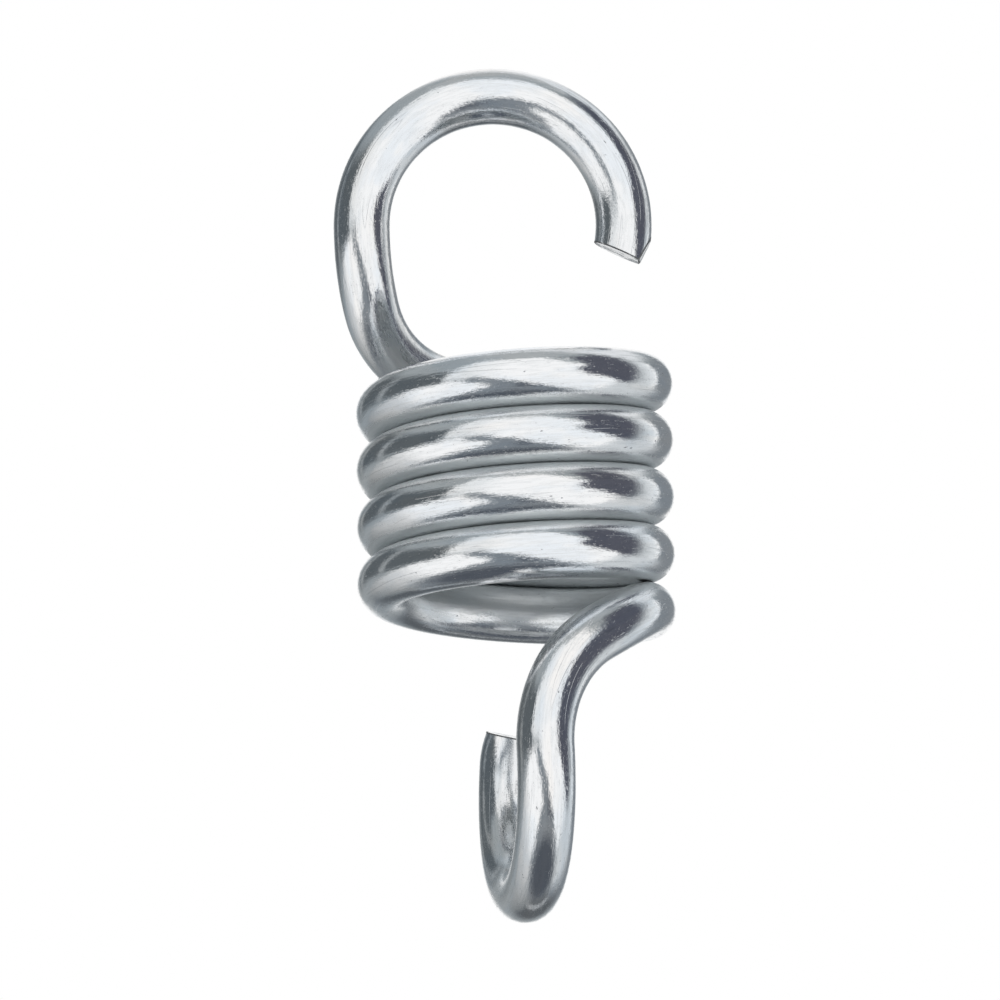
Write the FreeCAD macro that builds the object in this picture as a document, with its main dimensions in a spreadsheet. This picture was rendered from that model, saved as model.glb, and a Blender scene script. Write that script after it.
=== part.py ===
# Hammock hook: one length of round steel wire, closed-coiled in the middle, with an eye bent at each end
import FreeCAD, Part
import math
import os

from FreeCAD import Placement, Rotation, Vector

os.makedirs("parts", exist_ok=True)
doc = FreeCAD.newDocument("HammockHook")

# The origin is where the top eye bears on what it hangs from: inside the eye, at its highest point.
# X points to the open side of the top eye, Y to the back and Z up. The coil's axis is upright.

# Driving dimensions, in millimetres and degrees
SIZES = [
    ("wire_diameter", 8.0, "round wire, one piece from end to end"),
    ("coil_outside", 44.8, "outside diameter of the coil"),
    ("turn_gap", 0.1, "room between one turn and the next, which look closed"),
    ("coil_side", 2.8, "coil's axis to the right of the top eye's middle"),
    ("coil_front", 2.0, "coil's axis in front of the top eye's plane"),
    ("full_turns", 4.0, "turns below the top turn's right side"),
    ("top_turn_angle", 119.0, "how far the top turn goes on past its right side"),
    ("bottom_turn_angle", 4.7, "how far the last turn goes on past its right side"),
    ("top_eye_bore", 29.3, "inside diameter of the top eye"),
    ("top_eye_rise", 20.8, "from the upper end of the coil up to the top eye's middle"),
    ("top_neck_share", 0.375, "share of the first of the two bends between the top eye and the coil"),
    ("tip_angle", 15.1, "the sheared tip, below the height of the top eye's middle"),
    ("tip_inset", 1.1, "from the wire's outer side in to the sheared tip"),
    ("tip_shear_slope", 24.6, "slope of the broad shear face of the tip"),
    ("tip_shear_tilt", 4.7, "how far that face is turned to the back"),
    ("tip_back_slope", 61.4, "slope of the small face at the tip's outer side"),
    ("bottom_eye_bore", 29.2, "inside diameter of the bottom eye"),
    ("bottom_eye_fall", 21.2, "from the lower end of the coil down to the bottom eye's middle"),
    ("bottom_eye_side", 0.2, "bottom eye's middle to the right of the coil's axis"),
    ("bottom_eye_front", 2.7, "bottom eye's middle in front of the coil's axis"),
    ("bottom_eye_turn", 10.85, "how far the bottom eye is turned from square to the top eye"),
    ("bottom_front_lean", -2.5, "how far the front half of the bottom eye leans to the side"),
    ("bottom_back_lean", 2.9, "how far its back half leans to the side"),
    ("bottom_neck_share", 0.456, "share of the first of the two bends between the coil and the bottom eye"),
    ("bottom_end_angle", 17.1, "the cut end, above the height of the bottom eye's middle"),
    ("bottom_cut_slope", 11.8, "slope of the end's cut, down to the right"),
    ("bottom_cut_tilt", 8.5, "slope of the end's cut, down to the front"),
    ("shear_stock", 5.0, "angle of wire past each end that the shears take off"),
]


def make_sheet():
    """The driving dimensions, one to a row."""
    sheet = doc.addObject("Spreadsheet::Sheet", "Sizes")
    sheet.Label = "sizes"
    for row, (alias, value, note) in enumerate(SIZES, start=1):
        sheet.set(f"A{row}", alias)
        sheet.set(f"B{row}", str(value))
        sheet.setAlias(f"B{row}", alias)
        sheet.set(f"C{row}", note)
    doc.recompute()
    return sheet


sheet = make_sheet()


def size(alias):
    return float(sheet.get(alias))


def turned(angle):
    """Sine and cosine of an angle in degrees."""
    return math.sin(math.radians(angle)), math.cos(math.radians(angle))


class Eye:
    """A flat round bend of the wire, given by its middle and its plane."""

    def __init__(self, middle, across, up, bore):
        self.middle = middle
        self.across = across
        self.up = up
        self.radius = (bore + size("wire_diameter")) / 2

    def point(self, angle, outward=0.0):
        """A point at an angle from the across direction towards the up direction."""
        sine, cosine = turned(angle)
        return self.middle + (self.across * cosine + self.up * sine) * (self.radius + outward)

    def arc(self, first, last):
        """The centre line between two angles."""
        return Part.Arc(self.point(first), self.point((first + last) / 2), self.point(last)).toShape()


class Coil:
    """The closed coil. Its angles are measured from the right side of its top turn, rising as the wire climbs."""

    def __init__(self, top_eye_middle):
        self.radius = (size("coil_outside") - size("wire_diameter")) / 2
        self.pitch = size("wire_diameter") + size("turn_gap")
        self.upper_end = size("top_turn_angle")
        self.lower_end = -360 * size("full_turns") - size("bottom_turn_angle")
        height = top_eye_middle.z - size("top_eye_rise") - self.climb(self.upper_end)
        self.foot = Vector(size("coil_side"), -size("coil_front"), height)

    def climb(self, angle):
        """Height gained over an angle."""
        return self.pitch * angle / 360

    def point(self, angle):
        """A point of the centre line."""
        sine, cosine = turned(angle)
        return self.foot + Vector(self.radius * cosine, self.radius * sine, self.climb(angle))

    def rising(self, angle):
        """The climbing wire's direction at an angle."""
        sine, cosine = turned(angle)
        return Vector(-self.radius * sine, self.radius * cosine, self.pitch / (2 * math.pi)).normalize()

    def edges(self):
        """The centre line from the lower end to the upper one, in equal lengths of a third of a turn at most."""
        turning = self.upper_end - self.lower_end
        count = math.ceil(turning / 120)
        edges = []
        for index in range(count):
            first = self.lower_end + turning * index / count
            helix = Part.makeHelix(self.pitch, self.climb(turning / count), self.radius)
            foot = self.foot + Vector(0, 0, self.climb(first))
            helix.Placement = Placement(foot, Rotation(Vector(0, 0, 1), first))
            edges.extend(helix.Edges)
        return edges


def bend(start, corner, end):
    """The arc from start to end, which lie equally far from the corner that it rounds."""
    inward = start - corner
    reach = inward.Length
    inward.normalize()
    outward = (end - corner).normalize()
    half_turn = (math.pi - inward.getAngle(outward)) / 2
    middle = corner + (inward + outward).normalize() * (reach * math.tan(half_turn / 2))
    return Part.Arc(start, middle, end).toShape()


def neck_edges(start, leaving, end, arriving, share):
    """Two bends that lead smoothly from start to end, the first with its share of their tangents' length."""
    mean = leaving * share + arriving * (1 - share)
    chord = end - start
    along = chord.dot(mean)
    spare = 1 - mean.dot(mean)
    length = (math.sqrt(along * along + spare * chord.dot(chord)) - along) / spare
    first_corner = start + leaving * (length * share)
    second_corner = end - arriving * (length * (1 - share))
    meeting = first_corner + (second_corner - first_corner) * share
    return [bend(start, first_corner, meeting), bend(meeting, second_corner, end)]


def make_top_eye():
    """The eye that hangs from above, in the plane of X and Z, opening to the right."""
    radius = (size("top_eye_bore") + size("wire_diameter")) / 2
    middle = Vector(0, 0, size("wire_diameter") / 2 - radius)
    return Eye(middle, Vector(1, 0, 0), Vector(0, 0, 1), size("top_eye_bore"))


def make_bottom_eye(coil):
    """The eye that carries the load, almost square to the top one, as two halves that meet at its lowest point."""
    sine, cosine = turned(size("bottom_eye_turn"))
    to_front = Vector(sine, -cosine, 0)
    to_side = Vector(cosine, sine, 0)
    height = coil.point(coil.lower_end).z - size("bottom_eye_fall")
    middle = Vector(coil.foot.x + size("bottom_eye_side"), coil.foot.y - size("bottom_eye_front"), height)
    sine, cosine = turned(size("bottom_front_lean"))
    front = Eye(middle, to_front, Vector(0, 0, 1) * cosine + to_side * sine, size("bottom_eye_bore"))
    sine, cosine = turned(size("bottom_back_lean"))
    back_up = Vector(0, 0, 1) * cosine + to_side * sine
    back_middle = front.point(-90) + back_up * front.radius
    return front, Eye(back_middle, to_front, back_up, size("bottom_eye_bore"))


def make_centre_line(top, coil, bottom_front, bottom_back):
    """The wire's centre line, from the tip of the top eye to the end of the bottom one."""
    upper_neck = neck_edges(
        top.point(180),
        top.up * -1,
        coil.point(coil.upper_end),
        coil.rising(coil.upper_end) * -1,
        size("top_neck_share"),
    )
    lower_neck = neck_edges(
        coil.point(coil.lower_end),
        coil.rising(coil.lower_end) * -1,
        bottom_front.point(0),
        bottom_front.up * -1,
        size("bottom_neck_share"),
    )
    top_arc = top.arc(-size("tip_angle") - size("shear_stock"), 180)
    bottom_arcs = [
        bottom_front.arc(0, -90),
        bottom_back.arc(-90, -180 - size("bottom_end_angle") - size("shear_stock")),
    ]
    line = doc.addObject("Part::Feature", "CentreLine")
    edges = [top_arc] + upper_neck + coil.edges() + lower_neck + bottom_arcs
    line.Shape = Part.Wire(Part.__sortEdges__(edges))
    return line


def make_section(top):
    """The round section of the wire, standing square on the centre line where the top eye begins."""
    first = -size("tip_angle") - size("shear_stock")
    sine, cosine = turned(first)
    section = doc.addObject("Part::Circle", "WireSection")
    section.setExpression("Radius", "sizes.wire_diameter / 2")
    tangent = top.up * cosine - top.across * sine
    section.Placement = Placement(top.point(first), Rotation(Vector(0, 0, 1), tangent))
    return section


def shear_block(name, point, rotation):
    """A flat block, its lower face through the point, that takes off what lies over that face."""
    block = doc.addObject("Part::Box", name)
    block.setExpression("Length", "sizes.wire_diameter * 2")
    block.setExpression("Width", "sizes.wire_diameter * 2")
    block.setExpression("Height", "sizes.wire_diameter / 2")
    to_corner = Vector(-size("wire_diameter"), -size("wire_diameter"), 0)
    block.Placement = Placement(point + rotation.multVec(to_corner), rotation)
    return block


def shear_ends(swept, top, bottom_back):
    """The swept wire with its two sheared ends."""
    across = Vector(0, 1, 0)
    tip = top.point(-size("tip_angle"), size("wire_diameter") / 2 - size("tip_inset"))
    slope = Rotation(across, 180 + size("tip_shear_slope"))
    tilt = Rotation(Vector(1, 0, 0), size("tip_shear_tilt"))
    broad_face = shear_block("TipShear", tip, tilt.multiply(slope))
    small_face = shear_block("TipBack", tip, Rotation(across, 180 - size("tip_back_slope")))
    slope = Rotation(across, size("bottom_cut_slope"))
    tilt = Rotation(Vector(1, 0, 0), size("bottom_cut_tilt"))
    end_cut = shear_block("EndShear", bottom_back.point(-180 - size("bottom_end_angle")), tilt.multiply(slope))
    shape = swept
    for block in (broad_face, small_face, end_cut):
        cut = doc.addObject("Part::Cut", block.Name + "Cut")
        cut.Base = shape
        cut.Tool = block
        shape = cut
    return shape


def make_spring_hook():
    """The whole wire, swept along its centre line and sheared at both ends."""
    top = make_top_eye()
    coil = Coil(top.middle)
    bottom_front, bottom_back = make_bottom_eye(coil)
    line = make_centre_line(top, coil, bottom_front, bottom_back)
    section = make_section(top)
    doc.recompute()
    swept = doc.addObject("Part::Sweep", "SweptWire")
    swept.Sections = [section]
    swept.Spine = (line, [f"Edge{number}" for number in range(1, len(line.Shape.Edges) + 1)])
    swept.Solid = True
    swept.Frenet = False
    hook = shear_ends(swept, top, bottom_back)
    hook.Label = "spring_hook"
    return hook


def check_and_write(parts):
    """Stops at an object that failed, and writes each sub-part to a file named after it."""
    doc.recompute()
    for item in doc.Objects:
        if "Invalid" in item.State or "Error" in item.State:
            raise RuntimeError(f"{item.Name} did not compute: {item.State}")
    for item in parts:
        if item.Shape.isNull() or not item.Shape.isValid() or len(item.Shape.Solids) != 1:
            raise RuntimeError(f"{item.Label} has no valid solid")
        item.Shape.exportStep(f"parts/{item.Label}.step")


check_and_write([make_spring_hook()])
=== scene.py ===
"""The looks of the hammock hook: bright zinc-plated spring wire, hung in a plain studio.

The file is laid out as a Blender add-on and is run as a script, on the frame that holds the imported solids.
"""

import math

import bmesh
import bpy
from bpy.props import FloatProperty, FloatVectorProperty, IntProperty, PointerProperty
from mathutils import Matrix, Vector
from mathutils.bvhtree import BVHTree


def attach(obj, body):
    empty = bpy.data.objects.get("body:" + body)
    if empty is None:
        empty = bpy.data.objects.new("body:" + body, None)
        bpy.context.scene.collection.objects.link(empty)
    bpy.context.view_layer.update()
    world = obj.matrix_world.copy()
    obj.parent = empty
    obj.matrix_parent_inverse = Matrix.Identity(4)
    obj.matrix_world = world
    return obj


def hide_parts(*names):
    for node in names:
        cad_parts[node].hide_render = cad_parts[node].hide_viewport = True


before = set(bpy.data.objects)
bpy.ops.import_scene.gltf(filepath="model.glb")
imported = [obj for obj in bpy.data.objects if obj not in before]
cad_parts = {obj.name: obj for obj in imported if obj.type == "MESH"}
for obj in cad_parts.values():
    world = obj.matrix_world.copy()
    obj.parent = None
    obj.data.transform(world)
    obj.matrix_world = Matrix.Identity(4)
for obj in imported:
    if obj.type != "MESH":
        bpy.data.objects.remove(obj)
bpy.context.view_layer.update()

bl_info = {
    "name": "Hammock hook",
    "version": (1, 0, 0),
    "blender": (4, 5, 0),
    "location": "3D View > Sidebar > Hammock hook",
    "description": "Builds the wire of a hammock hook, its zinc finish and the studio that it hangs in",
    "category": "Object",
}

MILLIMETRE = 0.001


# Sizes and colours that a user may change

def length(name, description, millimetres):
    return FloatProperty(
        name=name, description=description, default=millimetres * MILLIMETRE, unit="LENGTH", precision=5
    )


def angle(name, description, degrees):
    return FloatProperty(name=name, description=description, default=math.radians(degrees), subtype="ANGLE")


def factor(name, description, default):
    return FloatProperty(
        name=name, description=description, default=default, min=0.0, max=1.0, subtype="FACTOR"
    )


def colour(name, description, default):
    return FloatVectorProperty(
        name=name, description=description, default=default, size=3, min=0.0, max=1.0, subtype="COLOR"
    )


class HookWireSizes(bpy.types.PropertyGroup):
    """The wire's path, as in the solid model."""

    wire_diameter: length("Wire", "Round wire, one piece from end to end", 8.0)
    coil_outside: length("Coil outside", "Outside diameter of the coil", 44.8)
    turn_gap: length("Turn gap", "Room between one turn and the next, which the zinc closes", 0.1)
    coil_side: length("Coil side", "Coil's axis to the right of the top eye's middle", 2.8)
    coil_front: length("Coil front", "Coil's axis in front of the top eye's plane", 2.0)
    full_turns: IntProperty(name="Full turns", description="Below the top turn's right side", default=4)
    top_turn_angle: angle("Top turn", "How far the top turn goes on past its right side", 119.0)
    bottom_turn_angle: angle("Bottom turn", "How far the last turn goes on past its right side", 4.7)
    top_eye_bore: length("Top eye bore", "Inside diameter of the top eye", 29.3)
    top_eye_rise: length("Top eye rise", "From the coil's upper end up to the top eye's middle", 20.8)
    top_neck_share: factor("Top neck share", "Share of the first bend below the top eye", 0.375)
    bottom_eye_bore: length("Bottom eye bore", "Inside diameter of the bottom eye", 29.2)
    bottom_eye_fall: length("Bottom eye fall", "From the coil's lower end to the bottom eye's middle", 21.2)
    bottom_eye_side: length("Bottom eye side", "Bottom eye's middle to the right of the coil's axis", 0.2)
    bottom_eye_front: length("Bottom eye front", "Bottom eye's middle in front of the coil's axis", 2.7)
    bottom_eye_turn: angle("Bottom eye turn", "Turn of the bottom eye from square to the top one", 10.85)
    bottom_front_lean: angle("Front lean", "Lean of the bottom eye's front half to the side", -2.5)
    bottom_back_lean: angle("Back lean", "Lean of the bottom eye's back half to the side", 2.9)
    bottom_neck_share: factor("Bottom neck share", "Share of the first bend below the coil", 0.456)


class HookEndSizes(bpy.types.PropertyGroup):
    """The two sheared ends of the wire."""

    tip_angle: angle("Tip angle", "The sheared tip, below the height of the top eye's middle", 15.1)
    tip_inset: length("Tip inset", "From the wire's outer side in to the sheared tip", 1.1)
    tip_shear_slope: angle("Tip shear slope", "Slope of the tip's broad face", 24.6)
    tip_shear_tilt: angle("Tip shear tilt", "How far the tip's broad face is turned to the back", 4.7)
    tip_back_slope: angle("Tip back slope", "Slope of the small face at the tip's outer side", 61.4)
    end_angle: angle("End angle", "The cut end, above the height of the bottom eye's middle", 17.1)
    end_slope: angle("End slope", "Slope of the end's cut, down to the right", 11.8)
    end_tilt: angle("End tilt", "Slope of the end's cut, down to the front", 8.5)
    stock: angle("Stock", "Angle of wire past each end that the shears take off", 5.0)
    rim: length("Rim", "Width of the dark rim round a sheared face", 0.2)
    end_roll: length("End roll", "How far the shear pressed in the left side of the bottom end", 0.6)
    end_roll_reach: length("End roll reach", "How far from the cut that side is pressed in", 4.5)


class HookFinish(bpy.types.PropertyGroup):
    """The bright zinc plating over drawn wire."""

    zinc: colour("Zinc", "Clean bright zinc", (0.90, 0.91, 0.92))
    blue_zinc: colour("Blue zinc", "Zinc where the passivation is a little blue", (0.82, 0.86, 0.90))
    warm_zinc: colour("Warm zinc", "Zinc where the passivation is a little warm", (0.93, 0.91, 0.89))
    grey_zinc: colour("Grey zinc", "Zinc that has dulled along the drawing lines", (0.70, 0.72, 0.73))
    # Thinly plated dull zinc inside the coil, with painted shade where other wire shuts it in
    thin_zinc_and_shade: colour("Thin zinc", "Thin dull zinc inside the coil", (0.68, 0.71, 0.72))
    # Dull zinc and painted shade in the grooves between the turns
    groove_zinc_and_shade: colour("Groove zinc", "Dull zinc in the grooves between the turns", (0.81, 0.84, 0.85))
    pit: colour("Pit", "Inside of the small pits and scratches", (0.42, 0.43, 0.45))
    sheared: colour("Sheared steel", "Freshly sheared faces of the ends", (0.95, 0.95, 0.95))
    # Dark worn steel with painted shade round the sheared faces, also used for the painted shade line where
    # two turns touch
    rim: colour("Rim", "Dark rim round the sheared faces", (0.10, 0.105, 0.11))
    roughness: factor("Roughness", "Roughness of the clean zinc", 0.085)
    relief: length("Relief", "Depth of the drawing lines and the plating's grain", 0.022)


class HookStudio(bpy.types.PropertyGroup):
    """The studio: a pale floor, a soft lamp, white panels, dark flags and the camera."""

    floor: colour("Floor", "Pale floor", (0.92, 0.92, 0.92))
    floor_height: length("Floor height", "Height of the floor from the hook's bearing point", -200.0)
    lamp_power: FloatProperty(name="Lamp power", description="Power of the soft lamp in watts", default=3.0)
    camera_place: FloatVectorProperty(
        name="Camera place",
        description="Where the camera stands",
        default=(0.000628, -0.843145, -0.178381),
        unit="LENGTH",
    )
    camera_lift: angle("Camera lift", "How far the camera looks up", 8.3773)
    camera_roll: angle("Camera roll", "How far the camera leans to the side", -0.6174)
    focal_length: FloatProperty(name="Focal length", description="Of the camera, in mm", default=216.96)
    panel: colour("Panel", "White soft panels", (1.0, 1.0, 1.0))
    right_flag: colour("Right flag", "Dark flag on the right", (0.09, 0.095, 0.12))
    left_flag: colour("Left flag", "Dark flag on the left", (0.105, 0.12, 0.13))
    seam: colour("Seam", "Darker seam between the two lower panels", (0.23, 0.255, 0.28))
    room: colour("Room", "The room between the panels", (0.34, 0.37, 0.385))


# The wire's path

UPWARD = Vector((0, 0, 1))


class Run:
    """A length of wire that turns from one angle to another."""

    def __init__(self, first, last, length):
        self.first = first
        self.last = last
        self.length = length

    def point(self, share):
        """The point at a share of the run."""
        return self.at(self.first + (self.last - self.first) * share)

    def heading(self, share):
        """The way that the run goes on, at a share of it."""
        way = self.rising(self.first + (self.last - self.first) * share)
        return way if self.last > self.first else -way


class Arc(Run):
    """A round bend in a plane. Its angles turn from the across direction towards the up direction."""

    def __init__(self, middle, across, up, radius, first, last):
        super().__init__(first, last, radius * abs(last - first))
        self.middle = middle
        self.across = across
        self.up = up
        self.radius = radius

    def at(self, turn, outward=0.0):
        """The point at an angle, or one farther out from the middle."""
        out = self.across * math.cos(turn) + self.up * math.sin(turn)
        return self.middle + out * (self.radius + outward)

    def rising(self, turn):
        """The direction of a growing angle."""
        return self.up * math.cos(turn) - self.across * math.sin(turn)


class Helix(Run):
    """The closed coil. Its angles turn about its upright axis, from its right side to its back."""

    def __init__(self, foot, radius, pitch, first, last):
        super().__init__(first, last, abs(last - first) * math.hypot(radius, pitch / math.tau))
        self.foot = foot
        self.radius = radius
        self.pitch = pitch

    def at(self, turn):
        """The point at an angle."""
        climb = self.pitch * turn / math.tau
        return self.foot + Vector((self.radius * math.cos(turn), self.radius * math.sin(turn), climb))

    def rising(self, turn):
        """The direction of a growing angle, which climbs."""
        climb = self.pitch / math.tau
        return Vector((-self.radius * math.sin(turn), self.radius * math.cos(turn), climb)).normalized()


def bend(start, corner, end):
    """The arc from start to end, which lie equally far from the corner that it rounds."""
    inward = (start - corner).normalized()
    outward = (end - corner).normalized()
    half_turn = (math.pi - inward.angle(outward)) / 2
    radius = (start - corner).length / math.tan(half_turn)
    middle = corner + (inward + outward).normalized() * (radius / math.cos(half_turn))
    return Arc(middle, (start - middle).normalized(), -inward, radius, 0.0, 2 * half_turn)


def neck(before, after, share):
    """Two bends that lead smoothly from one run to the next, the first with its share of their tangents."""
    start, leaving = before.point(1.0), before.heading(1.0)
    end, arriving = after.point(0.0), after.heading(0.0)
    mean = leaving * share + arriving * (1 - share)
    chord = end - start
    along = chord.dot(mean)
    spare = 1 - mean.dot(mean)
    reach = (math.sqrt(along * along + spare * chord.dot(chord)) - along) / spare
    first_corner = start + leaving * (reach * share)
    second_corner = end - arriving * (reach * (1 - share))
    meeting = first_corner + (second_corner - first_corner) * share
    return [bend(start, first_corner, meeting), bend(meeting, second_corner, end)]


def bend_top_eye(wire, ends):
    """The eye that hangs from above, in the plane of X and Z, opening to the right."""
    radius = (wire.top_eye_bore + wire.wire_diameter) / 2
    middle = Vector((0, 0, wire.wire_diameter / 2 - radius))
    first = -ends.tip_angle - ends.stock
    return Arc(middle, Vector((1, 0, 0)), UPWARD, radius, first, math.pi)


def wind_coil(wire, top_eye):
    """The closed coil below the top eye, from its upper end down."""
    pitch = wire.wire_diameter + wire.turn_gap
    upper = wire.top_turn_angle
    lower = -math.tau * wire.full_turns - wire.bottom_turn_angle
    foot_height = top_eye.middle.z - wire.top_eye_rise - pitch * upper / math.tau
    foot = Vector((wire.coil_side, -wire.coil_front, foot_height))
    return Helix(foot, (wire.coil_outside - wire.wire_diameter) / 2, pitch, upper, lower)


def bend_bottom_eye(wire, ends, coil):
    """The eye that carries the load, almost square to the top one, as two halves that meet at its foot."""
    turn = wire.bottom_eye_turn
    to_front = Vector((math.sin(turn), -math.cos(turn), 0))
    to_side = Vector((math.cos(turn), math.sin(turn), 0))
    radius = (wire.bottom_eye_bore + wire.wire_diameter) / 2
    middle = coil.foot + Vector((wire.bottom_eye_side, -wire.bottom_eye_front, 0))
    middle.z = coil.point(1.0).z - wire.bottom_eye_fall
    front_up = UPWARD * math.cos(wire.bottom_front_lean) + to_side * math.sin(wire.bottom_front_lean)
    back_up = UPWARD * math.cos(wire.bottom_back_lean) + to_side * math.sin(wire.bottom_back_lean)
    front = Arc(middle, to_front, front_up, radius, 0.0, -math.pi / 2)
    back_middle = front.point(1.0) + back_up * radius
    last = -math.pi - ends.end_angle - ends.stock
    return front, Arc(back_middle, to_front, back_up, radius, -math.pi / 2, last)


class WirePath:
    """The whole centre line, from the tip of the top eye to the end of the bottom one."""

    def __init__(self, wire, ends):
        self.top_eye = bend_top_eye(wire, ends)
        coil = wind_coil(wire, self.top_eye)
        front, back = bend_bottom_eye(wire, ends, coil)
        upper_neck = neck(self.top_eye, coil, wire.top_neck_share)
        lower_neck = neck(coil, front, wire.bottom_neck_share)
        self.end_point = back.at(-math.pi - ends.end_angle)
        self.runs = [self.top_eye, *upper_neck, coil, *lower_neck, front, back]
        self.coil_start = self.top_eye.length + sum(run.length for run in upper_neck)
        self.coil_end = self.coil_start + coil.length

    def stations(self, step):
        """Points about a step apart, with the wire's heading and the length so far."""
        rows = []
        so_far = 0.0
        for run in self.runs:
            count = max(2, math.ceil(run.length / step))
            for index in range(count):
                share = index / count
                rows.append((run.point(share), run.heading(share), so_far + run.length * share))
            so_far += run.length
        rows.append((self.runs[-1].point(1.0), self.runs[-1].heading(1.0), so_far))
        return rows

    def closeness(self, so_far, run_in):
        """How much of the gap between turns is closed: 0 off the coil, and 1 from a run-in on."""
        inside = min(so_far - self.coil_start, self.coil_end - so_far)
        return min(max(inside / run_in, 0.0), 1.0)


# The wire's mesh

# The tube: how fine it is, the strips that a shear reaches, and the run over which the coil's turns close up
POINTS_AROUND = 48
STEP_ALONG = 0.8 * MILLIMETRE
END_STRIPS = 24
CLOSING_RUN = 12 * MILLIMETRE

# What each point keeps: its place, and how far it is shut in by the wire around it and close by
PLACE = "wire_place"
SHELTER = "shelter"
GROOVE = "groove"
SHELTER_REACH = 30 * MILLIMETRE
GROOVE_REACH = 3 * MILLIMETRE
LOOKS = 20
LOOK_START = 0.02 * MILLIMETRE
GOLDEN_TURN = math.tau * 0.618034

# The mesh's material slots
ZINC, SHEARED, RIM = range(3)

# The cuts: what counts as on a cutting plane, how near two corners become one, and how far an edge is worn
ON_PLANE = 1e-7
CORNER_MERGE = 0.05 * MILLIMETRE
EDGE_WEAR = 0.3


def look_out(rays):
    """Ways to look out from a surface, most of them near its normal, as steps along side, other and out."""
    ways = []
    for index in range(rays):
        spread = math.sqrt((index + 0.5) / rays)
        turn = GOLDEN_TURN * index
        ways.append((spread * math.cos(turn), spread * math.sin(turn), math.sqrt(1 - spread * spread)))
    return ways


def measure_shelter(mesh, rings):
    """How much of the room each point of the wire doesn't see, because other wire stands in the way."""
    shelter = mesh.verts.layers.float[SHELTER]
    groove = mesh.verts.layers.float[GROOVE]
    mesh.normal_update()
    tree = BVHTree.FromBMesh(mesh)
    ways = look_out(LOOKS)
    for ring, following in zip(rings, rings[1:]):
        for vertex, after in zip(ring, following):
            out = vertex.normal
            side = (after.co - vertex.co).normalized()
            other = out.cross(side)
            start = vertex.co + out * LOOK_START
            rays = [side * along + other * across + out * up for along, across, up in ways]
            met = [tree.ray_cast(start, way, SHELTER_REACH)[3] for way in rays]
            vertex[shelter] = sum(far is not None for far in met) / len(ways)
            vertex[groove] = sum(far is not None and far < GROOVE_REACH for far in met) / len(ways)
    for layer in (shelter, shelter, groove):
        even_out(rings, layer)


def even_out(rings, layer):
    """Evens out the steps between neighbouring points, with each point counted twice."""
    before = [[vertex[layer] for vertex in ring] for ring in rings]
    count = len(rings[0])
    for row, ring in enumerate(rings):
        above = before[max(row - 1, 0)]
        below = before[min(row + 1, len(rings) - 1)]
        for index, vertex in enumerate(ring):
            here = before[row]
            beside = here[index - 1] + here[(index + 1) % count]
            vertex[layer] = (2 * here[index] + beside + above[index] + below[index]) / 6


def make_rings(mesh, path, radius, gap):
    """Rings of points along the path. Each keeps its place round and along the wire, in millimetres."""
    mesh.verts.layers.float_vector.new(PLACE)
    mesh.verts.layers.float.new(SHELTER)
    mesh.verts.layers.float.new(GROOVE)
    place = mesh.verts.layers.float_vector[PLACE]
    across = radius / MILLIMETRE
    rings = []
    side = Vector((0, 1, 0))
    heading_before = None
    for point, heading, so_far in path.stations(STEP_ALONG):
        if heading_before is not None:
            side = heading_before.rotation_difference(heading) @ side
        side = (side - heading * side.dot(heading)).normalized()
        other = heading.cross(side)
        heading_before = heading
        taller = path.closeness(so_far, CLOSING_RUN) * gap / 2
        ring = []
        for index in range(POINTS_AROUND):
            turn = math.tau * index / POINTS_AROUND
            out = side * math.cos(turn) + other * math.sin(turn)
            vertex = mesh.verts.new(point + out * radius + UPWARD * (out.z * taller))
            vertex[place] = Vector((math.cos(turn) * across, math.sin(turn) * across, so_far / MILLIMETRE))
            ring.append(vertex)
        rings.append(ring)
    return rings


def join_rings(mesh, rings):
    """The strips of faces between rings, from the wire's first end to its last."""
    strips = []
    for ring, following in zip(rings, rings[1:]):
        strip = []
        for index in range(POINTS_AROUND):
            after = (index + 1) % POINTS_AROUND
            face = mesh.faces.new((ring[index], ring[after], following[after], following[index]))
            face.smooth = True
            strip.append(face)
        strips.append(strip)
    return strips


def sweep_wire(mesh, path, radius, gap):
    """A round tube along the path, which closes the gap between the turns of the coil."""
    rings = make_rings(mesh, path, radius, gap)
    strips = join_rings(mesh, rings)
    measure_shelter(mesh, rings)
    return strips


def once(items):
    """The items in their order, each of them once."""
    return list(dict.fromkeys(items))


def with_borders(faces):
    """The faces with their edges and corners."""
    edges = once(edge for face in faces for edge in face.edges)
    corners = once(corner for face in faces for corner in face.verts)
    return faces + edges + corners


def shear(mesh, faces, point, normal):
    """Takes off what lies over the plane and closes the cut with a flat face."""
    cut = bmesh.ops.bisect_plane(
        mesh, geom=with_borders(faces), plane_co=point, plane_no=normal, dist=ON_PLANE, clear_outer=True
    )
    edges = [item for item in cut["geom_cut"] if isinstance(item, bmesh.types.BMEdge)]
    corners = once(corner for edge in edges for corner in edge.verts)
    bmesh.ops.remove_doubles(mesh, verts=corners, dist=CORNER_MERGE)
    edges = [edge for edge in edges if edge.is_valid]
    made = bmesh.ops.contextual_create(mesh, geom=edges, mat_nr=SHEARED)
    cap = made["faces"][0]
    cap.smooth = False
    cap.material_index = SHEARED


def cap_in(mesh, point, normal):
    """The sheared face that lies in a plane."""
    caps = [face for face in mesh.faces if face.material_index == SHEARED]
    return min(caps, key=lambda cap: abs((cap.calc_center_median() - point).dot(normal)))


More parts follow.
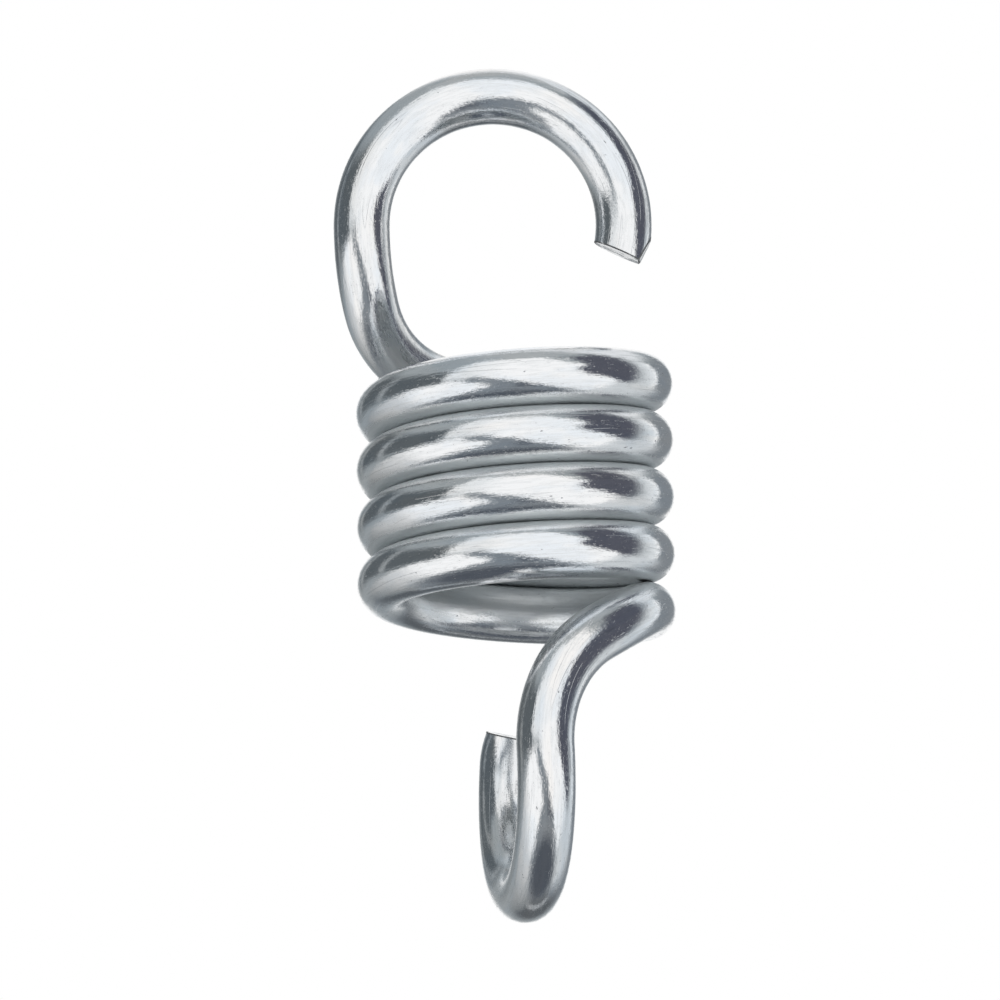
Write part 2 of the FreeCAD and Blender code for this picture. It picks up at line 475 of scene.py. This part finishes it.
def shear_tip(mesh, strips, path, wire, ends):
    """Cuts the two faces of the tip of the top eye and returns their planes."""
    tip = path.top_eye.at(-ends.tip_angle, wire.wire_diameter / 2 - ends.tip_inset)
    faces = [face for strip in strips for face in strip]
    broad = Matrix.Rotation(math.pi + ends.tip_shear_slope, 3, "Y") @ UPWARD
    broad = Matrix.Rotation(ends.tip_shear_tilt, 3, "X") @ broad
    shear(mesh, faces, tip, broad)
    small = Matrix.Rotation(math.pi - ends.tip_back_slope, 3, "Y") @ UPWARD
    faces = [face for face in faces if face.is_valid] + [cap_in(mesh, tip, broad)]
    shear(mesh, faces, tip, small)
    return [(tip, broad), (tip, small)]


def press_end(strips, path, ends):
    """Rolls the left side of the bottom end in towards the cut, as a shear does."""
    heading = path.runs[-1].heading(1.0)
    for vertex in once(vertex for strip in strips for face in strip for vertex in face.verts):
        before_cut = max((path.end_point - vertex.co).dot(heading), 0.0)
        near = max(1 - before_cut / ends.end_roll_reach, 0.0)
        vertex.co.x += ends.end_roll * near * near * max(-vertex.normal.x, 0.0)


def shear_end(mesh, strips, path, ends):
    """Cuts the one face of the end of the bottom eye and returns its plane."""
    press_end(strips, path, ends)
    slope = Matrix.Rotation(ends.end_slope, 3, "Y")
    tilt = Matrix.Rotation(ends.end_tilt, 3, "X")
    over = tilt @ slope @ UPWARD
    faces = [face for strip in strips for face in strip]
    shear(mesh, faces, path.end_point, over)
    return [(path.end_point, over)]


def wear_rim(mesh, point, normal, width):
    """A narrow dark rim, worn steel and painted shade, on both sides of a sheared face's edge, with the edge
    itself worn back a little.
    """
    cap = cap_in(mesh, point, normal)
    corners = list(cap.verts)
    ring = bmesh.ops.inset_individual(mesh, faces=[cap], thickness=width, use_even_offset=True)
    for face in ring["faces"]:
        face.material_index = RIM
    line = point - normal * width
    beside = once(face for corner in corners for face in corner.link_faces if face.material_index == ZINC)
    wider = beside + [face for near in beside for edge in near.edges for face in edge.link_faces]
    wider = once(face for face in wider if face.material_index == ZINC)
    bmesh.ops.bisect_plane(mesh, geom=with_borders(wider), plane_co=line, plane_no=normal, dist=ON_PLANE)
    waiting = [face for corner in corners for face in corner.link_faces]
    while waiting:
        face = waiting.pop()
        if face.material_index == ZINC and (face.calc_center_median() - line).dot(normal) > 0:
            face.material_index = RIM
            waiting.extend(beyond for edge in face.edges for beyond in edge.link_faces)
    bmesh.ops.smooth_vert(
        mesh, verts=corners, factor=EDGE_WEAR, use_axis_x=True, use_axis_y=True, use_axis_z=True
    )


# Shader nodes

class Value:
    """A number, vector or colour that comes out of a node. Sums on it add Math nodes."""

    def __init__(self, shader, socket):
        self.shader = shader
        self.socket = socket

    def math(self, operation, *values):
        sockets = dict(enumerate(values))
        return self.shader.add("ShaderNodeMath", {"operation": operation}, sockets)

    def __add__(self, other):
        return self.math("ADD", self, other)

    def __radd__(self, other):
        return self.math("ADD", other, self)

    def __sub__(self, other):
        return self.math("SUBTRACT", self, other)

    def __rsub__(self, other):
        return self.math("SUBTRACT", other, self)

    def __mul__(self, other):
        return self.math("MULTIPLY", self, other)

    def __rmul__(self, other):
        return self.math("MULTIPLY", other, self)

    def __neg__(self):
        return self.math("MULTIPLY", self, -1.0)

    def at_least(self, other):
        """The larger of the two."""
        return self.math("MAXIMUM", self, other)

    def distance(self, other):
        """How far apart the two are."""
        apart = self - other
        return apart.math("ABSOLUTE", apart)

    def rise(self, start, end):
        """0 before start and 1 after end, with a soft step between them."""
        return self.shader.add(
            "ShaderNodeMapRange",
            {"interpolation_type": "SMOOTHSTEP"},
            {0: self, 1: start, 2: end},
        )

    def fall(self, start, end):
        """1 before start and 0 after end."""
        return 1 - self.rise(start, end)

    def within(self, low, high, soft):
        """1 between low and high, with soft edges."""
        return self.rise(low - soft, low + soft) * self.fall(high - soft, high + soft)

    def follow(self, *stops):
        """Straight lines through stops, each a place and the value there."""
        total = stops[0][1]
        for (start, low), (end, high) in zip(stops, stops[1:]):
            step = {0: self, 1: start, 2: end, 3: 0.0, 4: high - low}
            total = total + self.shader.add("ShaderNodeMapRange", {"interpolation_type": "LINEAR"}, step)
        return total


class Shader:
    """Builds the nodes of a material or a world."""

    def __init__(self, owner):
        owner.use_nodes = True
        self.tree = owner.node_tree
        self.tree.nodes.clear()

    def add(self, kind, settings=None, sockets=None, output=0):
        """A node of a kind, with its settings, and the values or links of its sockets."""
        node = self.tree.nodes.new(kind)
        for name, value in (settings or {}).items():
            setattr(node, name, value)
        for name, value in (sockets or {}).items():
            if isinstance(value, Value):
                self.tree.links.new(value.socket, node.inputs[name])
            else:
                node.inputs[name].default_value = value
        if not node.outputs:
            return node
        return Value(self, node.outputs[output])

    def mix(self, share, first, second):
        """Two colours mixed."""
        first, second = (item if isinstance(item, Value) else (*item, 1.0) for item in (first, second))
        return self.add("ShaderNodeMix", {"data_type": "RGBA"}, {0: share, 6: first, 7: second}, output=2)

    def attribute(self, name, output):
        """What each point of the mesh keeps under a name."""
        return self.add(
            "ShaderNodeAttribute", {"attribute_name": name, "attribute_type": "GEOMETRY"}, output=output
        )

    def noise(self, vector, scale, detail=2.0, roughness=0.5, distortion=0.0):
        """Smooth noise, with as many features to a unit as the scale gives for each axis."""
        scaled = self.add("ShaderNodeVectorMath", {"operation": "MULTIPLY"}, {0: vector, 1: scale})
        sockets = {
            "Vector": scaled,
            "Scale": 1.0,
            "Detail": detail,
            "Roughness": roughness,
            "Distortion": distortion,
        }
        return self.add("ShaderNodeTexNoise", {"noise_dimensions": "3D"}, sockets)

    def bump(self, height, depth):
        """The normal of a surface with a fine relief."""
        return self.add("ShaderNodeBump", None, {"Strength": 1.0, "Distance": depth, "Height": height})

    def finish(self, **sockets):
        """The material's surface, from its sockets with their spaces written as underscores."""
        named = {name.replace("_", " "): value for name, value in sockets.items()}
        surface = self.add("ShaderNodeBsdfPrincipled", None, named)
        self.add("ShaderNodeOutputMaterial", None, {"Surface": surface})


# The zinc finish

class ZincMarks:
    """What time and tools left on bright zinc over drawn wire, and painted shade where other wire shuts it
    in, as noises and masks.

    Each noise is given in features to a millimetre, two of them across the wire and the last along it.
    """

    def __init__(self, shader):
        place = shader.attribute(PLACE, "Vector")
        shelter = shader.attribute(SHELTER, "Fac")
        self.groove = shader.attribute(GROOVE, "Fac")
        self.lines = shader.noise(place, (3.2, 3.2, 0.06), detail=3.0, roughness=0.6)
        self.strokes = shader.noise(place, (2.6, 2.6, 0.38), detail=3.0, roughness=0.65)
        self.grain = shader.noise(place, (3.2, 3.2, 1.9), roughness=0.7)
        self.dents = shader.noise(place, (0.35, 0.35, 0.16))
        self.patches = shader.noise(place, (0.22, 0.22, 0.09), detail=3.0, roughness=0.6)
        self.tint = shader.noise(place, (0.30, 0.30, 0.05))
        frost_spots = shader.noise(place, (4.2, 4.2, 2.6), detail=1.0, roughness=0.6)
        self.frost = (frost_spots + (self.strokes - 0.5) * 0.4).rise(0.52, 0.70)
        speck_spots = shader.noise(place, (4.4, 4.4, 1.7), detail=1.0)
        self.specks = speck_spots.rise(0.54, 0.70) * self.strokes.rise(0.40, 0.60)
        self.pits = shader.noise(place, (1.9, 1.9, 1.1), detail=1.0).rise(0.765, 0.795)
        scratch_field = shader.noise(place, (0.9, 0.9, 0.035), detail=0.0, distortion=0.15)
        scratch_where = shader.noise(place, (0.5, 0.5, 0.10), detail=0.0)
        self.scratches = scratch_field.distance(0.5).fall(0.0, 0.012) * scratch_where.rise(0.52, 0.62)
        # Where other wire shuts this wire in: rougher, thinly plated zinc, and painted shade laid into its
        # colour
        self.thin_plating_and_shade = (shelter + (self.lines - 0.5) * 0.25).rise(0.06, 0.52)
        self.dull = self.lines.rise(0.50, 0.72) * self.patches.rise(0.40, 0.62)

    def tone(self, shader, finish):
        """Clean zinc with each mark laid over it: dull, thinly plated zinc with painted shade inside the
        coil, and painted shade in the grooves, darkest where two turns meet.
        """
        tone = tuple(finish.zinc)
        layers = (
            (self.patches.rise(0.45, 0.60), finish.blue_zinc),
            (self.tint.rise(0.50, 0.68) * 0.8, finish.warm_zinc),
            (self.strokes.rise(0.42, 0.66) * 0.35, finish.grey_zinc),
            (self.dull * 0.5, finish.grey_zinc),
            # Painted shade inside the coil, with its dull, thinly plated zinc
            (self.thin_plating_and_shade * 0.8, finish.thin_zinc_and_shade),
            # Painted shade, with dull zinc, beside the grooves between the turns
            (self.groove.rise(0.10, 0.45) * 0.9, finish.groove_zinc_and_shade),
            # Painted shade: a dark line where two turns touch, in the rim's colour
            (self.groove.rise(0.80, 0.97) * 0.9, finish.rim),
            (self.pits.at_least(self.scratches * 0.35), finish.pit),
        )
        for where, laid in layers:
            tone = shader.mix(where, tone, tuple(laid))
        return tone

    def roughness(self, clean):
        """How much rougher than clean zinc each mark is."""
        roughness = clean + (self.strokes - 0.5) * 0.08 + (self.grain - 0.5) * 0.06 + self.dull * 0.05
        roughness = roughness + self.pits * 0.2 + self.frost * 0.10 + self.specks * 0.20 + self.thin_plating_and_shade * 0.38
        return roughness.at_least(0.05)

    def height(self):
        """The relief, with pits and scratches going in."""
        height = self.lines * 0.35 + self.strokes * 0.9 + self.grain * 0.7 + self.dents * 2.6
        return height + self.specks * 0.16 - self.pits - self.scratches * 0.5


def make_zinc(finish):
    """Bright zinc over drawn wire, worn and marked, with painted shade inside the coil and between its
    turns.
    """
    material = bpy.data.materials.new("zinc_plated_wire")
    shader = Shader(material)
    marks = ZincMarks(shader)
    shader.finish(
        Base_Color=marks.tone(shader, finish),
        Metallic=1.0,
        Roughness=marks.roughness(finish.roughness),
        Normal=shader.bump(marks.height(), finish.relief),
    )
    return material


def make_sheared(finish):
    """The faces that the shears left: bright steel with drag lines across."""
    material = bpy.data.materials.new("sheared_steel")
    shader = Shader(material)
    place = shader.attribute(PLACE, "Vector")
    drag = shader.noise(place, (0.5, 5.0, 5.0), detail=3.0, roughness=0.6)
    grain = shader.noise(place, (4.0, 4.0, 4.0), detail=3.0, roughness=0.7)
    torn = shader.noise(place, (0.3, 0.3, 0.3), detail=3.0, roughness=0.6).rise(0.46, 0.56)
    tone = shader.mix(drag.rise(0.35, 0.7), tuple(finish.sheared), tuple(finish.zinc))
    tone = shader.mix(torn * 0.5, tone, tuple(finish.grey_zinc))
    height = drag * 1.2 + grain * (0.5 + torn * 1.6)
    shader.finish(
        Base_Color=tone,
        Metallic=1.0,
        Roughness=0.24 + torn * 0.18 + (grain - 0.5) * 0.1,
        Normal=shader.bump(height, finish.relief),
    )
    return material


def make_rim(finish):
    """The torn rim of the sheared faces: dark worn steel, with painted shade along the edge."""
    material = bpy.data.materials.new("dark_rim")
    shader = Shader(material)
    worn = shader.noise(shader.attribute(PLACE, "Vector"), (1.2, 1.2, 1.2), detail=3.0, roughness=0.7)
    # Painted shade with worn steel: a dark rim, lighter where worn
    tone = shader.mix(worn.rise(0.52, 0.76) * 0.6, tuple(finish.rim), tuple(finish.grey_zinc))
    shader.finish(Base_Color=tone, Metallic=0.3, Roughness=0.5 + (worn - 0.5) * 0.3)
    return material


# The studio's light

LOW_ROOM = (0.25, 0.27, 0.29)
RIGHT_WALL = (0.78, 0.80, 0.82)
LEFT_WALL = (0.80, 0.82, 0.84)
CEILING = (0.42, 0.44, 0.45)
UNDERNEATH = (0.088, 0.10, 0.12)
FLAG_LINE = (0.32, 0.34, 0.35)
DUSK = (0.23, 0.25, 0.27)
STRIP = (0.78, 0.81, 0.83)
BACKDROP_FOOT = (0.11, 0.12, 0.13)
BACKDROP_LINE = (0.40, 0.42, 0.44)
SEAM_HEART = (0.09, 0.10, 0.12)
PANEL_END = (0.0, 0.02, 0.03)
SIDE_WALL = (0.64, 0.67, 0.69)
BOX_SHADE = (0.84, 0.86, 0.87)
DULL_LIGHT = (0.96, 0.96, 0.96)


class StudioLight:
    """What the metal mirrors, by direction, in degrees.

    Side is 0 in front, 90 to the right and 180 behind. Height is 0 when level and 90 straight up.
    """

    def __init__(self, world, studio):
        self.shader = Shader(world)
        self.studio = studio
        self.panel = tuple(studio.panel)
        direction = self.shader.add("ShaderNodeTexCoord", output="Generated")
        x, y, z = (
            self.shader.add("ShaderNodeSeparateXYZ", None, {0: direction}, output=axis) for axis in "XYZ"
        )
        degrees = math.degrees(1.0)
        self.side = x.math("ARCTAN2", x, -y) * degrees
        self.height = z.math("ARCSINE", z) * degrees
        self.tone = self.shader.mix(self.height.rise(-75.0, 20.0), LOW_ROOM, tuple(studio.room))

    def lay(self, where, tone):
        """Lays a tone over the part of the room that a mask picks."""
        self.tone = self.shader.mix(where, self.tone, tone)

    def light_room(self):
        """The bright walls high up, the ceiling and the dark underneath."""
        side, height = self.side, self.height
        self.lay(height.rise(32.0, 42.0) * side.rise(98.0, 122.0), RIGHT_WALL)
        self.lay(height.rise(34.0, 46.0) * side.fall(-180.0, -138.0), LEFT_WALL)
        self.lay(height.rise(64.0, 76.0), CEILING)
        self.lay(height.fall(-68.0, -50.0), UNDERNEATH)

    def hang_left_flag(self):
        """The dark flag on the left, with two narrow lines of light through it."""
        side, height = self.side, self.height
        flag = side.within(-156.0, -52.0, 5.0) * height.within(-2.0, 38.0, 7.0)
        self.lay(flag, tuple(self.studio.left_flag))
        lines = side.distance(-114.0).fall(1.5, 6.5).at_least(side.distance(-149.0).fall(1.0, 6.0))
        self.lay(flag * lines, FLAG_LINE)

    def stand_strip(self):
        """The light strip on the right, with its bright edge and the dusk behind it."""
        side, height = self.side, self.height
        self.lay(side.within(128.0, 163.0, 4.0) * height.within(-60.0, 31.0, 6.0), DUSK)
        strip = side.rise(92.0, 124.0) * side.fall(127.0, 130.0) * height.within(-24.0, 36.0, 8.0)
        self.lay(strip, STRIP)
        self.lay(side.within(124.0, 127.5, 1.0) * height.within(-14.0, 30.0, 6.0), self.panel)

    def hang_backdrop(self):
        """The white backdrop behind the hook, over its dark foot."""
        height = self.height
        round_back = self.side.distance(0.0)
        foot = round_back.rise(142.0, 162.0) * height.within(-58.0, -22.0, 8.0)
        self.lay(foot, BACKDROP_FOOT)
        self.lay(foot * height.within(-50.0, -44.0, 2.0), BACKDROP_LINE)
        self.lay(round_back.rise(161.0, 170.0) * height.within(-8.0, 54.0, 7.0), self.panel)

    def stand_lower_panels(self):
        """The two white panels low in front, the darker seam between them and the wall beside them."""
        side, height = self.side, self.height
        seam_left = height.follow(
            (-50.0, -56.0), (-42.0, -30.0), (-34.0, -18.0), (-22.0, -19.0), (-5.0, -37.0)
        )
        seam_right = height.follow(
            (-52.0, 56.0), (-38.0, 22.0), (-26.0, 9.0), (-14.0, 0.0), (0.0, -22.0)
        )
        seam = (side - seam_left).rise(-8.0, 8.0) * (side - seam_right).fall(-8.0, 8.0)
        seam = seam * height.within(-50.0, 4.0, 6.0)
        self.lay(seam, tuple(self.studio.seam))
        self.lay(seam * height.within(-46.0, -26.0, 8.0) * side.rise(-2.0, 10.0) * 0.8, SEAM_HEART)
        left = (side - seam_left).fall(-4.0, 4.0) * side.rise(-162.0, -150.0)
        left = left * height.rise(-56.0, -44.0) * (height - side * 0.2 - 12.0).fall(-4.0, 4.0)
        fading = side.follow(
            (-158.0, 0.18), (-132.0, 0.40), (-114.0, 0.56), (-96.0, 0.68), (-84.0, 0.88), (-74.0, 1.0)
        )
        self.lay(left, self.shader.mix(fading, PANEL_END, self.panel))
        wall = side.rise(60.0, 84.0) * side.fall(124.0, 152.0) * height.within(-56.0, -12.0, 8.0)
        self.lay(wall, SIDE_WALL)
        right = (side - seam_right).rise(-4.0, 4.0) * side.fall(78.0, 94.0) * height.within(-52.0, 0.0, 6.0)
        self.lay(right, self.panel)
        return seam_right

    def hang_right_flag(self):
        """The dark flag on the right, whose left edge follows the soft box."""
        side, height = self.side, self.height
        left_edge = height.follow((-16.0, 84.0), (3.0, 53.0), (18.0, 46.0), (30.0, 57.0))
        right_edge = height.follow((0.0, 100.0), (30.0, 106.0))
        flag = (side - left_edge).rise(-4.0, 4.0) * height.within(-18.0, 62.0, 6.0)
        self.lay(flag * (side - right_edge).fall(-9.0, 9.0), tuple(self.studio.right_flag))

    def hang_soft_box(self, seam_right):
        """The big soft box in front and above, a little dimmer on its left."""
        side, height = self.side, self.height
        right_edge = height.follow(
            (-14.0, 84.0), (3.0, 53.0), (18.0, 46.0), (30.0, 57.0), (42.0, 50.0), (62.0, 34.0)
        )
        box = (side - right_edge).fall(-4.0, 4.0) * height.fall(62.0, 72.0)
        upper_left = side.rise(-56.0, -51.0) * height.rise(2.0, 14.0)
        lower_left = (side - seam_right).rise(-4.0, 4.0) * height.rise(-24.0, -12.0)
        white = self.shader.mix(side.rise(-40.0, -8.0), BOX_SHADE, self.panel)
        self.lay(box * upper_left.at_least(lower_left), white)

    def switch_on(self):
        """Metal mirrors the room, dull surfaces see one even light and the camera sees plain white."""
        shader = self.shader
        glossy = shader.add("ShaderNodeLightPath", output="Is Glossy Ray")
        transmission = shader.add("ShaderNodeLightPath", output="Is Transmission Ray")
        camera = shader.add("ShaderNodeLightPath", output="Is Camera Ray")
        tone = shader.mix(glossy.at_least(transmission), DULL_LIGHT, self.tone)
        tone = shader.mix(camera, tone, self.panel)
        background = shader.add("ShaderNodeBackground", None, {"Color": tone, "Strength": 1.0})
        shader.add("ShaderNodeOutputWorld", None, {"Surface": background})


def make_world(world, studio):
    """The studio's light, laid from the room's walls forward to the soft box."""
    light = StudioLight(world, studio)
    light.light_room()
    light.hang_left_flag()
    light.stand_strip()
    light.hang_backdrop()
    seam_right = light.stand_lower_panels()
    light.hang_right_flag()
    light.hang_soft_box(seam_right)
    light.switch_on()


# The floor, the lamp and the camera, in metres and for the camera's sensor in millimetres

FLOOR_SIZE = 4.0
FLOOR_SQUARES = 8
LAMP_SIZE = 0.8
LAMP_PLACE = (-0.35, -0.55, 1.2)
LAMP_AIM = (0, 0, -0.05)
SENSOR_WIDTH = 36.0
NEAREST_SEEN = 0.05
FARTHEST_SEEN = 50.0


def make_floor_finish(studio):
    """Plain pale floor, a little uneven."""
    material = bpy.data.materials.new("pale_floor")
    shader = Shader(material)
    cloud = shader.noise(shader.add("ShaderNodeTexCoord", output="Object"), (1.5, 1.5, 1.5))
    pale = tuple(studio.floor)
    tone = shader.mix(cloud * 0.3, pale, tuple(part * 0.97 for part in pale))
    shader.finish(Base_Color=tone, Roughness=0.85)
    return material


# Operators

class HOOK_OT_wire(bpy.types.Operator):
    """Builds the zinc-plated wire with its coil, its two eyes and its sheared ends"""

    bl_idname = "hammock_hook.wire"
    bl_label = "Build the wire"

    def execute(self, context):
        scene = context.scene
        wire, ends, finish = scene.hook_wire, scene.hook_ends, scene.hook_finish
        path = WirePath(wire, ends)
        mesh = bmesh.new()
        strips = sweep_wire(mesh, path, wire.wire_diameter / 2, wire.turn_gap)
        cuts = shear_tip(mesh, strips[:END_STRIPS], path, wire, ends)
        cuts += shear_end(mesh, strips[-END_STRIPS:], path, ends)
        for point, normal in cuts:
            wear_rim(mesh, point, normal, ends.rim)
        bmesh.ops.recalc_face_normals(mesh, faces=mesh.faces)
        data = bpy.data.meshes.new("zinc_wire")
        mesh.to_mesh(data)
        mesh.free()
        data.materials.append(make_zinc(finish))
        data.materials.append(make_sheared(finish))
        data.materials.append(make_rim(finish))
        piece = bpy.data.objects.new("zinc_wire", data)
        scene.collection.objects.link(piece)
        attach(piece, "root")
        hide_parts("spring_hook")
        return {"FINISHED"}


class HOOK_OT_studio(bpy.types.Operator):
    """Sets up the floor, the soft lamp, the studio's light and the camera"""

    bl_idname = "hammock_hook.studio"
    bl_label = "Set up the studio"

    def execute(self, context):
        scene = context.scene
        studio = scene.hook_studio
        self.lay_floor(scene, studio)
        self.hang_lamp(scene, studio)
        world = bpy.data.worlds.new("studio_light")
        make_world(world, studio)
        scene.world = world
        self.place_camera(scene, studio)
        scene.view_settings.view_transform = "Standard"
        return {"FINISHED"}

    @staticmethod
    def lay_floor(scene, studio):
        """A wide pale floor below the hook."""
        mesh = bmesh.new()
        bmesh.ops.create_grid(mesh, x_segments=FLOOR_SQUARES, y_segments=FLOOR_SQUARES, size=FLOOR_SIZE)
        data = bpy.data.meshes.new("floor")
        mesh.to_mesh(data)
        mesh.free()
        data.materials.append(make_floor_finish(studio))
        floor = bpy.data.objects.new("floor", data)
        floor.location = (0, 0, studio.floor_height)
        floor.visible_glossy = False
        scene.collection.objects.link(floor)

    @staticmethod
    def hang_lamp(scene, studio):
        """A soft round lamp above and before the hook, on its left."""
        light = bpy.data.lights.new("soft_lamp", "AREA")
        light.shape = "DISK"
        light.size = LAMP_SIZE
        light.energy = studio.lamp_power
        lamp = bpy.data.objects.new("soft_lamp", light)
        lamp.location = LAMP_PLACE
        lamp.rotation_euler = (Vector(LAMP_AIM) - lamp.location).to_track_quat("-Z", "Y").to_euler()
        lamp.visible_glossy = False
        lamp.visible_camera = False
        scene.collection.objects.link(lamp)

    @staticmethod
    def place_camera(scene, studio):
        """The camera at the photograph's viewing angle."""
        data = bpy.data.cameras.new("photo_camera")
        data.lens = studio.focal_length
        data.sensor_width = SENSOR_WIDTH
        data.clip_start = NEAREST_SEEN
        data.clip_end = FARTHEST_SEEN
        camera = bpy.data.objects.new("photo_camera", data)
        lift, roll = studio.camera_lift, studio.camera_roll
        forward = Vector((0, math.cos(lift), math.sin(lift)))
        level = Vector((1, 0, 0))
        upright = Vector((0, -math.sin(lift), math.cos(lift)))
        right = level * math.cos(roll) + upright * math.sin(roll)
        up = upright * math.cos(roll) - level * math.sin(roll)
        turned = Matrix((right, up, -forward)).transposed().to_4x4()
        camera.matrix_world = Matrix.Translation(Vector(studio.camera_place)) @ turned
        scene.collection.objects.link(camera)
        scene.camera = camera


class HOOK_PT_panel(bpy.types.Panel):
    """Lists the steps that build the hook and its studio"""

    bl_idname = "HOOK_PT_panel"
    bl_label = "Hammock hook"
    bl_space_type = "VIEW_3D"
    bl_region_type = "UI"
    bl_category = "Hammock hook"

    def draw(self, context):
        for step in STEPS:
            self.layout.operator(step.bl_idname)


GROUPS = (
    ("hook_wire", HookWireSizes),
    ("hook_ends", HookEndSizes),
    ("hook_finish", HookFinish),
    ("hook_studio", HookStudio),
)
STEPS = (HOOK_OT_wire, HOOK_OT_studio)


def register():
    for name, group in GROUPS:
        bpy.utils.register_class(group)
        setattr(bpy.types.Scene, name, PointerProperty(type=group))
    for step in STEPS:
        bpy.utils.register_class(step)
    bpy.utils.register_class(HOOK_PT_panel)


def unregister():
    bpy.utils.unregister_class(HOOK_PT_panel)
    for step in reversed(STEPS):
        bpy.utils.unregister_class(step)
    for name, group in reversed(GROUPS):
        delattr(bpy.types.Scene, name)
        bpy.utils.unregister_class(group)


def main():
    """Builds everything, in order."""
    register()
    bpy.ops.hammock_hook.studio()
    bpy.ops.hammock_hook.wire()


if __name__ == "__main__":
    main()
